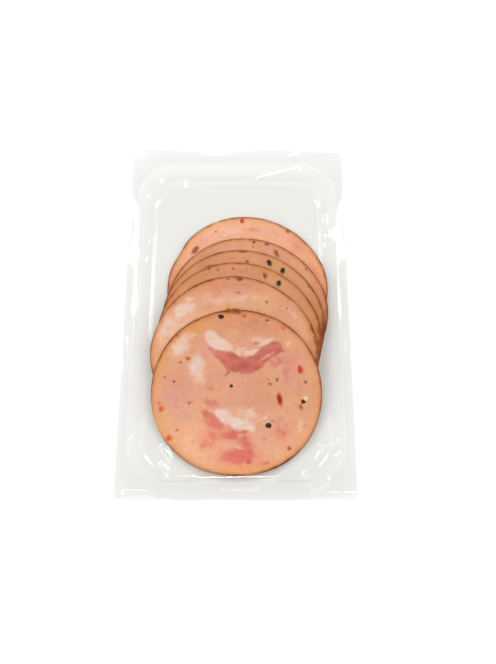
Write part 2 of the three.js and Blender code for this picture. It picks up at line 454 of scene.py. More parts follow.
def add_ring(name, ring):
    """Adds a circle, numbers its points and moves them to the first ring."""
    deselect()
    bpy.ops.mesh.primitive_circle_add(vertices=len(ring), radius=1, fill_type="NOTHING")
    piece = bpy.context.object
    piece.name = piece.data.name = name
    piece.data.attributes.new("step", "INT", "POINT").data.foreach_set("value", range(len(ring)))
    bpy.ops.object.mode_set(mode="EDIT")
    bpy.ops.mesh.select_all(action="SELECT")
    move_ring(piece, ring)
    return piece


def close_end(height):
    """Closes the selected ring with a fan whose middle lies at a height."""
    bpy.ops.mesh.edge_face_add()
    bpy.ops.mesh.poke()
    mesh = bmesh.from_edit_mesh(bpy.context.object.data)
    pole = max((v for v in mesh.verts if v.select), key=lambda v: len(v.link_edges))
    pole.co.z = height
    bmesh.update_edit_mesh(bpy.context.object.data)


def loft(name, rings, first_height, last_height):
    """Models a closed shell: a circle is extruded from ring to ring and closed at both ends."""
    piece = add_ring(name, rings[0])
    for ring in rings[1:]:
        bpy.ops.mesh.extrude_edges_move()
        move_ring(piece, ring)
    close_end(last_height)
    bpy.ops.mesh.select_all(action="DESELECT")
    bpy.ops.mesh.select_mode(type="EDGE")
    bpy.ops.mesh.select_non_manifold()
    close_end(first_height)
    return finish_mesh(piece)


def finish_mesh(piece):
    """Points the faces outwards, smooths the shading and leaves the object at the origin."""
    bpy.ops.mesh.select_mode(type="VERT")
    bpy.ops.mesh.select_all(action="SELECT")
    bpy.ops.mesh.normals_make_consistent(inside=False)
    bpy.ops.object.mode_set(mode="OBJECT")
    bpy.ops.object.shade_smooth_by_angle(angle=math.radians(50))
    bpy.ops.object.transform_apply(location=True, rotation=True, scale=True)
    return piece


def place_piece(piece, node):
    """Hides the CAD part that the piece replaces and lets the piece ride with the pack."""
    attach(piece, BODY)
    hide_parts(node)


# ---- what shows on the slices ------------------------------------------------------------------

# Marbling, as outlines in the photograph's pixels, read off it. Each patch is its
# strength, the softness of its edge in millimetres, and its outline.
LEAN = {
    1: [
        (0.50, 2.2, [(293, 241), (300, 243), (301, 249), (295, 250), (291, 246)]),
        (0.45, 2.2, [(313, 266), (320, 270), (322, 277), (317, 278), (312, 272)]),
        (0.48, 1.3, [(248, 228), (253, 226.5), (259, 228.5), (258, 232), (250, 231.5)]),
    ],
    3: [(0.25, 1.5, [(228, 256), (237, 255), (238, 260), (229, 261)])],
    4: [(0.25, 2.0, [(236, 268), (248, 267), (250, 272), (238, 273)])],
    5: [
        (0.35, 2.5, [(212, 286), (220, 284), (225, 287), (222, 295), (214, 296)]),
        (0.30, 2.0, [(255, 290), (262, 288), (267, 290), (263, 294), (256, 294)]),
        (0.30, 2.0, [(282, 311), (290, 310), (296, 314), (290, 318), (284, 316)]),
        (0.35, 2.5, [(304, 322), (310, 321), (313, 327), (307, 328)]),
    ],
    6: [
        # the curved band of lean in the upper half, left and right part
        (0.95, 1.0, [(207, 346.5), (216, 350), (225, 351), (233, 352), (239, 356), (247, 357), (254, 355),
                     (259, 360), (266, 361), (264, 365), (258, 370.5), (252, 374), (245, 374), (237, 372.5),
                     (230, 371), (224, 367), (221, 362), (217, 358.5), (212, 354)]),
        (0.92, 1.1, [(252, 356), (259, 350), (266, 345.5), (273, 341.5), (279, 342), (282, 346), (285, 351),
                     (279, 354), (273, 358), (267, 362.5), (260, 364), (254, 361)]),
        (0.45, 1.8, [(266, 363), (275, 356), (285, 356), (292, 360), (291, 366), (281, 366), (272, 370)]),
        (0.50, 0.7, [(243, 349.5), (250, 347.5), (260, 346.5), (264, 347), (253, 350), (244, 351.5)]),
        (0.62, 0.8, [(251, 344.5), (255, 341.5), (261, 340.5), (260, 343.5), (254, 345.5)]),
        (0.25, 2.0, [(268, 332), (276, 331), (278, 335), (270, 337)]),
        # faint rose streaks to the left of the middle
        (0.40, 1.3, [(206, 386), (216, 387), (224, 389), (222, 392), (213, 391), (206, 390)]),
        (0.60, 1.6, [(203, 401), (210, 398), (220, 399), (219, 404), (210, 407), (204, 405)]),
        (0.25, 3.0, [(178, 380), (190, 380), (198, 384), (194, 391), (182, 388)]),
        # the broken patches below
        (0.85, 1.8, [(202, 411), (208, 410), (214, 414), (218, 419), (223, 424), (224, 429), (219, 431),
                     (213, 429), (208, 425), (204, 419)]),
        (0.45, 2.2, [(216, 424), (224, 427), (228, 434), (224, 439), (218, 434)]),
        (0.62, 2.0, [(207, 431), (214, 430), (218, 436), (217, 443), (211, 445), (208, 440)]),
        (0.70, 1.6, [(200, 444), (205, 440), (211, 441), (212, 445), (206, 448), (201, 449)]),
        (0.80, 1.6, [(222, 434), (229, 431), (238, 430), (249, 431), (249, 433.5), (239, 436), (234, 440),
                     (225, 440)]),
        (0.78, 1.8, [(239, 437), (246, 434.5), (250, 438), (253, 447), (254, 456), (248, 456), (244, 448),
                     (239, 443)]),
        (0.88, 1.7, [(224, 452), (229, 449.5), (236, 448), (243, 450), (253, 449), (254, 457), (252, 464),
                     (245, 463), (238, 464), (230, 463), (222, 461)]),
        (0.75, 0.8, [(261, 463), (268, 461.5), (270, 464.5), (263, 466)]),
        # pink mottling on the right
        (0.58, 1.8, [(275, 427), (283, 425), (289, 431), (287, 439), (278, 437)]),
        (0.42, 2.0, [(280, 364), (288, 363), (291, 370), (290, 379), (283, 380), (279, 373)]),
        (0.42, 1.5, [(276, 416), (283, 415), (284, 421), (277, 422)]),
        (0.40, 1.4, [(297, 384), (302, 383), (303, 391), (299, 394), (297, 390)]),
        (0.28, 2.5, [(247, 318), (255, 316), (261, 320), (260, 328), (250, 329)]),
        (0.25, 2.0, [(190, 403), (204, 404), (206, 410), (193, 411)]),
    ],
}
FAT = {
    1: [(0.30, 2.0, [(216, 238), (230, 229), (244, 226), (244, 231), (230, 235), (218, 243)])],
    5: [
        (0.88, 2.0, [(174, 314), (177, 307), (184, 303.5), (196, 302.5), (197, 306), (192, 311), (185, 316),
                     (178, 319.5), (174, 319)]),
        (0.55, 3.0, [(158, 336), (160, 325), (168, 317), (176, 315), (178, 321), (170, 331), (164, 340)]),
        (0.60, 1.2, [(186, 299), (189, 296.5), (193, 298), (192, 301.5), (187, 302)]),
        (0.42, 1.8, [(200, 297), (204, 292), (211, 292), (210, 298), (204, 301)]),
        (0.42, 2.0, [(209, 300), (214, 297), (224, 298), (224, 305), (214, 306)]),
        (0.36, 2.0, [(229, 297), (238, 295), (248, 295), (249, 300), (240, 303), (230, 302)]),
        (0.40, 0.9, [(254, 296), (257, 292), (259, 294), (256, 301), (254, 303)]),
        (0.50, 1.5, [(283, 306), (292, 311), (298, 318), (294, 319), (288, 313), (282, 309)]),
    ],
    6: [
        # pale fat over the lean band
        (0.92, 1.4, [(204, 333), (208, 329.5), (214, 332), (219, 336.5), (225, 340.5), (233, 344.5),
                     (234, 351), (225, 350.5), (216, 350), (210, 346.5), (206, 342)]),
        (0.50, 1.4, [(232, 345), (238, 343), (242, 348), (244, 353), (240, 356.5), (233, 352)]),
        (0.72, 1.2, [(242, 348), (252, 346.5), (261, 346), (258, 351), (252, 356), (244, 356.5)]),
        (0.50, 1.3, [(248, 337), (256, 335.5), (263, 337), (262, 341), (254, 343), (249, 341)]),
        (0.78, 1.3, [(259, 344.5), (264, 339.5), (271, 337), (277, 337), (273, 341.5), (266, 345),
                     (260, 348)]),
        # pale patches on the left
        (0.75, 2.8, [(170, 356), (173, 345), (180, 337), (190, 333), (196, 334), (191, 341), (187, 349),
                     (180, 355), (172, 357)]),
        (0.70, 2.8, [(191, 357), (198, 353), (204, 360), (205, 371), (203, 380), (198, 383), (190, 377),
                     (188, 367)]),
        # the pale band below the middle and its streaks
        (0.80, 1.6, [(210, 411), (217, 408.5), (226, 408.5), (231, 413), (234, 419), (232, 424), (224, 425),
                     (217, 419)]),
        (0.82, 1.8, [(228, 417), (236, 417), (246, 419), (252, 424), (256, 431), (250, 433), (240, 430),
                     (230, 427), (225, 423)]),
        (0.45, 2.4, [(230, 410), (240, 408), (255, 408), (256, 416), (254, 424), (244, 419), (234, 418)]),
        (0.60, 1.4, [(244, 410), (250, 407), (254, 409), (253, 415), (246, 416)]),
        (0.55, 0.7, [(252, 424), (259, 419), (266, 416), (267, 417.5), (260, 421), (254, 426)]),
        (0.40, 1.5, [(297, 420), (302, 419), (304, 427), (300, 432), (297, 427)]),
        (0.45, 1.2, [(285, 341), (291, 340), (294, 344), (288, 346)]),
        (0.35, 1.2, [(230, 330), (236, 327), (238, 334), (233, 338)]),
        (0.75, 0.5, [(232, 445), (236, 445.5), (243, 449), (242, 450.5), (236, 447.5)]),
    ],
}

# Broad tints of the paste: kind, place, half sizes and turn as for the spots below, and strength.
WASH_COLOURS = {
    "tan": "#C98358",
    "rose": "#D68272",
    "straw": "#E09A58",
    "peach_and_light": "#F3B78C",
    "pale": "#EFC2AA",
    "mauve": "#CF8F8A",
    "salmon": "#E26A57",
    "pink": "#E3A297",
    "coral": "#F0936C",
    "olive": "#C69A5E",
}
# The peach washes on slice 1 and on the lower part of slice 6 are partly painted light, where those faces
# are lit best. The tan washes at the left and right ends of slices 1 to 4 and along the upper parts of
# slices 5 and 6 are partly painted shade, where the stack shades itself.
WASHES = {
    1: [
        ("tan", 312, 258, 12, 20, -28, 0.45), ("straw", 178, 262, 5, 16, 25, 0.7),
        ("straw", 194, 238, 5, 12, 50, 0.5), ("rose", 236, 236, 24, 4, -8, 0.35),
        ("rose", 299, 245, 12, 5, 38, 0.4), ("straw", 262, 224, 40, 3, 5, 0.25),
        ("peach_and_light", 226, 236, 46, 18, -6, 0.5), ("peach_and_light", 302, 256, 20, 20, 40, 0.35),
        ("coral", 316, 272, 5, 16, -24, 0.6), ("pink", 224, 234, 18, 6, -14, 0.6),
        ("salmon", 297, 246, 8, 6, 40, 0.5), ("salmon", 254, 230, 6, 2.5, 0, 0.45),
        ("salmon", 316, 274, 4, 7, -20, 0.4), ("pink", 276, 234, 14, 5, 14, 0.45),
        ("tan", 173, 279, 4, 10, 22, 0.8),
    ],
    2: [
        ("tan", 200, 255, 16, 9, -38, 0.6), ("straw", 248, 242, 20, 3, 0, 0.35),
        ("rose", 262, 248, 20, 5, 10, 0.2), ("rose", 300, 262, 12, 8, 45, 0.3),
        ("tan", 318, 290, 5, 16, -12, 0.7), ("tan", 172, 284, 5, 16, 30, 0.8),
    ],
    3: [
        ("tan", 202, 265, 22, 8, -32, 0.5), ("rose", 236, 259, 10, 4, 0, 0.3),
        ("rose", 297, 283, 12, 7, 45, 0.3), ("straw", 262, 257, 14, 5, 0, 0.3),
        ("olive", 278, 267, 13, 6, 30, 0.4), ("tan", 316, 306, 4, 18, -12, 0.7),
        ("tan", 168, 294, 5, 16, 28, 0.8),
    ],
    4: [
        ("tan", 200, 276, 24, 7, -30, 0.45), ("rose", 243, 271, 9, 4, 0, 0.35),
        ("straw", 260, 271, 8, 4, 0, 0.7), ("tan", 310, 306, 6, 20, -32, 0.4),
        ("olive", 269, 274, 13, 5, 22, 0.5), ("rose", 295, 292, 8, 5, 45, 0.2),
        ("tan", 165, 302, 5, 16, 26, 0.8),
    ],
    5: [
        ("tan", 236, 283, 44, 5, 0, 0.45), ("pale", 239, 300, 24, 7, 0, 0.4),
        ("pale", 174, 332, 24, 28, 35, 0.85), ("tan", 290, 312, 12, 20, -42, 0.4),
        ("straw", 229, 308, 5, 3, 0, 0.5),
        ("straw", 197, 291, 18, 4, -26, 0.6), ("straw", 156, 352, 3, 20, 6, 0.8),
        ("rose", 214, 290, 8, 7, 0, 0.5), ("straw", 314, 345, 4, 18, -14, 0.5),
        ("rose", 208, 307, 8, 3, -16, 0.6), ("pale", 296, 322, 18, 8, 42, 0.3),
    ],
    6: [
        ("tan", 250, 322, 44, 9, 0, 0.5), ("rose", 258, 326, 22, 10, 0, 0.3),
        ("straw", 200, 322, 20, 6, -28, 0.8), ("straw", 190, 331, 9, 8, -20, 0.6),
        ("straw", 194, 329, 6, 5, -20, 0.8), ("straw", 228, 316, 5, 4, 0, 0.7),
        ("straw", 163, 366, 4, 26, 18, 0.7), ("tan", 262, 390, 28, 12, 0, 0.35),
        ("mauve", 177, 396, 11, 15, 0, 0.45), ("mauve", 285, 375, 9, 10, 0, 0.4),
        ("rose", 214, 386, 18, 14, 0, 0.3), ("peach_and_light", 196, 446, 26, 14, 34, 0.6),
        ("peach_and_light", 288, 444, 18, 16, -30, 0.3), ("straw", 240, 470, 40, 4, 0, 0.8),
        ("straw", 290, 455, 16, 5, -38, 0.5), ("straw", 316, 396, 3, 40, 0, 0.5),
        ("straw", 163, 430, 4, 24, -24, 0.6), ("rose", 262, 412, 14, 8, 0, 0.2),
        ("rose", 176, 376, 14, 7, 0, 0.3), ("tan", 240, 402, 26, 6, 0, 0.3),
        ("pale", 205, 425, 10, 12, 0, 0.25), ("rose", 293, 360, 8, 12, 0, 0.3),
        ("salmon", 282, 432, 8, 8, 0, 0.5), ("salmon", 265, 464, 6, 3, 0, 0.7),
        ("salmon", 213, 420, 9, 8, 0, 0.85), ("salmon", 208, 440, 8, 7, 0, 0.75),
        ("salmon", 230, 436, 9, 4, 0, 0.9), ("salmon", 246, 447, 6, 9, 0, 0.75),
        ("salmon", 238, 457, 15, 7, 0, 0.95), ("rose", 221, 428, 8, 7, 0, 0.6),
        ("pink", 213, 351, 9, 4, 30, 0.7), ("pink", 285, 372, 7, 9, 0, 0.5),
        ("pale", 232, 394, 18, 12, 0, 0.25), ("straw", 304, 412, 10, 26, 0, 0.25),
    ],
}

# What is scattered in the meat: its kind, its place and its half sizes in the photograph's
# pixels, and how far it is turned in degrees.
SPOT_COLOURS = {
    "red": "#C2311C",
    "orange": "#D6561E",
    "vermilion": "#E04E12",
    "amber": "#CE701C",
    "milk": "#DC9C8E",
    "rust": "#A8602C",
    "russet": "#A8401C",
    "cinnabar": "#C64A26",
    "wine": "#82150C",
    "maroon": "#8C4438",
    "mulberry": "#9A4844",
    "brown": "#72320F",
    "umber": "#3A1A08",
    "mustard": "#D39A50",
    "tan": "#C4926A",
    "fawn": "#CF9068",
    "olive": "#927448",
}
SPOTS = {
    1: [
        ("red", 242.2, 220.7, 2.1, 2.3, 0), ("mulberry", 195.3, 250, 4.6, 2.3, -50),
        ("orange", 215.9, 231.5, 1.3, 0.9, 0), ("russet", 287.8, 231.2, 2.4, 1.5, 20),
        ("rust", 263, 219, 1.4, 0.8, 0), ("orange", 277, 235.5, 0.6, 0.6, 0),
        ("rust", 170, 272, 1.2, 6, 15), ("orange", 320, 290, 1.2, 1.8, 0),
    ],
    2: [
        ("brown", 254, 242, 1.6, 1.5, 0), ("rust", 267.2, 244.2, 2.6, 1.5, 10),
        ("brown", 266.4, 243.8, 1.2, 0.8, 10), ("maroon", 276.5, 253.5, 1.6, 3.6, -28),
        ("rust", 252.9, 247, 0.9, 0.8, 0), ("maroon", 306.2, 268.8, 1.2, 1.0, 0),
        ("rust", 251, 239.6, 2.6, 1.0, 0),
    ],
    3: [
        ("brown", 243, 251.6, 3.0, 1.0, 0), ("maroon", 247.4, 261.5, 1.8, 1.3, 0),
        ("rust", 209, 266, 4.0, 0.9, -12), ("brown", 308.6, 286.4, 0.9, 0.9, 0),
        ("olive", 269.4, 263.4, 2.5, 3.5, -24), ("olive", 282.6, 271.2, 2.7, 3.1, 0),
    ],
    4: [
        ("maroon", 265, 275.5, 1.9, 2.9, -20), ("olive", 278.8, 283.4, 2.7, 3.1, 0),
        ("umber", 209.2, 269, 0.8, 0.7, 0), ("brown", 218, 270, 0.8, 0.7, 0),
        ("brown", 232.9, 268.8, 0.9, 0.6, 0), ("mustard", 316.5, 321.5, 1.9, 2.2, 20),
        ("rust", 240, 263.4, 4.5, 0.9, 4),
    ],
    5: [
        ("maroon", 239.3, 278.8, 3.4, 2.1, 10), ("umber", 240, 279, 1.8, 1.2, 10),
        ("rust", 238.5, 292.5, 1.8, 0.9, 0), ("rust", 210, 280.5, 4.5, 0.9, -16),
        ("maroon", 266.5, 302, 1.3, 0.9, 30), ("brown", 286.8, 308.8, 0.8, 0.7, 0),
        ("mustard", 228.4, 305.6, 1.9, 2.4, 0), ("mustard", 231, 308.8, 2.4, 1.0, 0),
        ("brown", 228, 279, 0.9, 0.8, 0), ("brown", 189, 281, 1.0, 0.8, 0),
        ("rust", 235.5, 309.6, 3.4, 1.2, 8), ("brown", 236.6, 309.8, 1.8, 0.9, 10),
        ("rust", 228.4, 309.2, 2.4, 1.2, 0), ("brown", 234, 309.8, 1.6, 0.9, 0),
    ],
    6: [
        ("rust", 235, 311.6, 7.4, 2.4, 6), ("brown", 237, 311.6, 4.2, 1.7, 14),
        ("brown", 235, 311.6, 2.4, 1.2, 0), ("brown", 239, 312.2, 1.6, 1.1, 0),
        ("rust", 229, 312, 3.6, 1.8, 0),
        ("brown", 228.3, 311.4, 1.7, 1.2, 0),
        ("orange", 244.4, 315.8, 2.2, 1.7, 0), ("amber", 283.2, 328.2, 2.0, 2.0, 0),
        ("brown", 267.4, 320.4, 1.3, 0.9, 0), ("rust", 177.5, 336, 1.3, 1.2, 0),
        ("rust", 188, 358.5, 2.1, 1.7, 0), ("umber", 180.5, 362.2, 0.8, 0.8, 0),
        ("rust", 165, 376.6, 0.8, 0.8, 0), ("umber", 173.7, 381.6, 0.9, 0.8, 0),
        ("brown", 228, 372.7, 1.1, 1.1, 0), ("brown", 225.8, 375.4, 1.0, 0.8, 0),
        ("umber", 277, 379.4, 1.2, 1.2, 0), ("brown", 270, 384.2, 1.1, 0.9, 0),
        ("rust", 268.6, 379.4, 0.7, 0.7, 0), ("red", 300.2, 369.7, 2.3, 3.8, -12),
        ("maroon", 305.6, 381.8, 1.4, 1.4, 0), ("red", 279.6, 399.0, 2.6, 6.0, -8),
        ("wine", 279.8, 400.0, 1.4, 4.2, -8), ("red", 189.8, 402.8, 1.5, 0.9, 0),
        ("amber", 161.1, 409, 2.6, 2.8, 0), ("orange", 161.3, 409.4, 1.8, 1.9, 0),
        ("orange", 159.3, 403, 1.1, 0.8, 0), ("vermilion", 168.9, 438.2, 2.4, 2.7, 0),
        ("vermilion", 177.1, 430, 1.2, 1.2, 0), ("cinnabar", 289.2, 448.5, 1.8, 2.0, 0),
        ("red", 248.4, 462.6, 1.3, 0.9, 0), ("fawn", 305, 425.5, 1.7, 1.6, 0),
        ("fawn", 264, 439, 2.6, 1.6, 0), ("red", 272.3, 421, 0.7, 0.7, 0),
        ("tan", 250.2, 402.4, 0.8, 0.8, 0), ("fawn", 192.9, 441.8, 0.9, 1.2, 0),
        ("umber", 289.6, 459.9, 6.6, 1.6, -36), ("rust", 301, 407, 1.8, 2.6, 0),
        ("brown", 158, 357, 1.2, 2.4, 20), ("milk", 267.2, 356.2, 6.0, 0.8, -31),
    ],
}
PEPPER = {
    3: [(269.4, 262.8, 2.1, 3.1, -24), (282.6, 270.4, 2.1, 2.6, 30)],
    4: [(278.9, 283.1, 2.1, 2.6, 0)],
    6: [(220.9, 316.6, 3.1, 2.3, 10), (268.4, 425.2, 3.2, 2.9, 20), (231.3, 385.8, 1.7, 1.6, 0),
        (303.4, 400.9, 2.6, 2.8, 40)],
}
CUT_PEPPER = {6: [(305.6, 398.4, 2.9, 2.7, 40)]}

# Where an edge has lost its browned skin: direction from the slice's centre and half width in
# degrees, and how much is gone.
BARE_EDGE = {
    1: [(113, 3, 0.9), (35, 14, 0.2)],
    2: [(88, 5, 0.5)],
    5: [(172, 14, 0.5)],
    6: [(196, 26, 0.5), (222, 22, 0.45), (252, 16, 0.5), (284, 12, 0.35), (-12, 22, 0.25)],
}

# Where the browned skin reaches further in than usual, partly browning and partly painted shade
# where the stacked rims crowd together: direction and half width in degrees, and how many times
# as far again.
DEEP_EDGE_AND_SHADE = {
    2: [(-22, 20, 2.4), (196, 16, 1.2)],
    3: [(-14, 20, 2.4), (200, 14, 1.2)],
    4: [(-8, 20, 2.0), (196, 12, 1.0)],
    5: [(2, 22, 1.4), (125, 30, 0.5)],
    6: [(100, 50, 0.6)],
}

# How much painted shade, with some browning, darkens the shingled middle of the stack next to its
# two ends, at each slice's far edge and at its near edge.
SHADE_AND_BROWNING = {1: (0.0, 0.0), 2: (0.35, 0.5), 3: (0.55, 0.7), 4: (0.6, 0.7), 5: (0.4, 0.1), 6: (0.4, 0.0)}


def signed_distance(points, outline):
    """How deep each point lies inside a closed outline, negative outside it."""
    nearest, inside = np.full(len(points), np.inf), np.zeros(len(points), bool)
    for start, end in zip(outline, np.roll(outline, -1, axis=0)):
        along = end - start
        part = np.clip((points - start) @ along / (along @ along), 0, 1)
        nearest = np.minimum(nearest, np.linalg.norm(points - start - part[:, None] * along, axis=1))
        crosses = (start[1] > points[:, 1]) != (end[1] > points[:, 1])
        level = np.where(crosses, (points[:, 1] - start[1]) / (along[1] or 1), 0)
        inside ^= crosses & (points[:, 0] < start[0] + level * along[0])
    return np.where(inside, nearest, -nearest)


def patches(index, points, table):
    """One value for each point, from -1 outside all patches to 1 well inside a strong one."""
    value = np.full(len(points), -1.0)
    for strength, softness, pixels in table.get(index, []):
        outline = np.array([on_slice(index, pixel) for pixel in pixels])
        depth = np.clip(signed_distance(points, outline) / (softness * MM), -1, 1)
        value = np.maximum(value, (1 + depth) * strength - 1)
    return value


def spot_axes(index, spot):
    """A spot's centre and its two half axes on the slice."""
    x, y, across, along, turn = spot
    turn = math.radians(turn)
    centre = on_slice(index, (x, y))
    first = on_slice(index, (x + across * math.cos(turn), y + across * math.sin(turn))) - centre
    second = on_slice(index, (x - along * math.sin(turn), y + along * math.cos(turn))) - centre
    return centre, first, second


def from_spot(index, points, spot):
    """How far each point is from a spot's centre, 1 at its rim, and the spot's smaller half size."""
    centre, first, second = spot_axes(index, spot)
    local = (points - centre) @ np.linalg.inv(np.column_stack((first, second))).T
    return np.linalg.norm(local, axis=1), min(np.linalg.norm(first), np.linalg.norm(second))


def spot_values(index, points):
    """How deep each point lies in the nearest spot, in millimetres, and that spot's colour."""
    depth = np.full(len(points), -2.0)
    tint = np.tile(linear(SPOT_COLOURS["rust"]), (len(points), 1))
    for kind, *spot in SPOTS.get(index, []):
        away, size = from_spot(index, points, spot)
        here = (1 - away) * size / MM
        tint[(here > depth) | (here > -0.1)] = linear(SPOT_COLOURS[kind])
        depth = np.maximum(depth, here)
    return depth, tint


def wash_values(index, points):
    """How strongly each point is tinted by the washes that reach it, and the tint they make."""
    weight = np.full(len(points), 1e-6)
    tint, bare = np.zeros((len(points), 4)), np.ones(len(points))
    for kind, *spot, strength in WASHES.get(index, []):
        away, _ = from_spot(index, points, spot)
        here = strength * np.exp(-0.7 * away**2)
        tint += here[:, None] * linear(WASH_COLOURS[kind])
        weight += here
        bare *= 1 - here
    return 1 - bare, tint / weight[:, None]


def around(table, index, turn):
    """The sum, in each direction, of what a table lists for a slice's edge."""
    total = np.zeros(len(turn))
    for turn_at, width, amount in table.get(index, ()):
        away = np.angle(np.exp(1j * (turn - math.radians(turn_at)))) / math.radians(width)
        total += amount * np.exp(-(away**2))
    return total


def casing_strength(index, turn):
    """How much browned skin is left along a slice's edge."""
    places = zip(np.cos(turn), np.sin(turn))
    patchy = [noise.noise(Vector((4 * a, 4 * b, 9.0 * index))) for a, b in places]
    return np.clip(0.85 + 0.5 * np.array(patchy) - around(BARE_EDGE, index, turn), 0.05, 1)


def coordinates(piece):
    points = np.empty(len(piece.data.vertices) * 3)
    piece.data.vertices.foreach_get("co", points)
    return points.reshape(-1, 3)


def store(piece, name, values, kind="FLOAT"):
    attribute = piece.data.attributes.new(name, kind, "POINT")
    attribute.data.foreach_set("color" if kind == "FLOAT_COLOR" else "value", np.ravel(values))


def paint_slice(piece, index):
    """Stores what the ham's material reads: marbling, spots, distance from the edge, and painted shade with
    some browning.
    """
    points = coordinates(piece)[:, :2]
    centre = np.array(CENTRES[index])
    dx, dy = (points - centre).T
    turn, distance = np.arctan2(dy, dx), np.hypot(dx, dy)
    inwards = (outline_radius(index, turn) - distance) / MM
    store(piece, "edge", inwards / (1 + around(DEEP_EDGE_AND_SHADE, index, turn)))
    store(piece, "casing", casing_strength(index, turn))
    strength, tint = wash_values(index, points)
    store(piece, "wash", strength)
    store(piece, "wash_colour", tint, "FLOAT_COLOR")
    far, near = SHADE_AND_BROWNING[index]
    along = np.clip(0.5 - dy / (2 * settings()[2].radius), 0, 1)
    store(piece, "shade_and_browning", far + (near - far) * along)
    store(piece, "lean", patches(index, points, LEAN))
    store(piece, "fat", patches(index, points, FAT))
    depth, tint = spot_values(index, points)
    store(piece, "spot", depth)
    store(piece, "spot_colour", tint, "FLOAT_COLOR")


# ---- materials ---------------------------------------------------------------------------------


# The ham's grain: size in millimetres, detail, roughness, the range that it is spread from and to,
# and for streaks how the pattern is scaled along x, y and z.
HAM_GRAIN = {
    "drift": (15, 3, 0.55, (0.35, 0.65, 0, 1), None),
    "cloud": (7, 4, 0.55, (0.4, 0.7, 0, 0.7), None),
    "wash": (5, 5, 0.55, (0.3, 0.6, 0.6, 1), None),
    "mottle": (2.6, 4, 0.6, (0.45, 0.75, 0, 0.28), None),
    "fleck": (1.5, 3, 0.6, (0.55, 0.72, 0, 0.28), None),
    "milk": (4, 4, 0.55, (0.4, 0.75, 0, 1), (0.5, 1.6, 1)),
    "fibre": (5, 3, 0.45, (0.2, 0.8, 0, 1), (0.5, 1.2, 1)),
    "fat": (5, 3, 0.55, (0.25, 0.75, -0.45, 0.45), None),
    "lean": (3.5, 3, 0.55, (0.25, 0.75, -0.5, 0.5), None),
    "spot": (1.2, 3, 0.55, (0.3, 0.7, -0.35, 0.35), None),
    "edge": (4, 4, 0.55, (0.3, 0.7, 0.3, -0.3), None),
    "moist": (1.8, 4, 0.55, (0.3, 0.7, 0.36, 0.5), None),
}
# The relief of the cut face: size in millimetres, detail, roughness and weight.
HAM_RELIEF = ((1.1, 5, 0.65, 1), (4.5, 2, 0.55, 1.5))
# What shows by how deep a place lies in a painted patch, or by its distance from the slice's edge
# in millimetres, which is ragged or even: what is measured, and the range it is spread from and to.
HAM_SHARES = {
    "fat": ("fat", (-0.9, 0.9, 0, 0.85)),
    "lean": ("lean", (-0.9, 0.9, 0, 0.92)),
    "spot": ("spot", (-0.75, 0.5, 0, 1)),
    "stain": ("edge", (0.8, 3, 0.55, 0)),
    "skin": ("edge", (0.4, 1.2, 0.95, 0)),
    "rim": ("even edge", (0.5, 5.5, 0.45, 0)),
    "shine": ("even edge", (0.2, 1.6, 0.02, 0.2)),
}
SPREAD = ("Value", "From Min", "From Max", "To Min", "To Max")


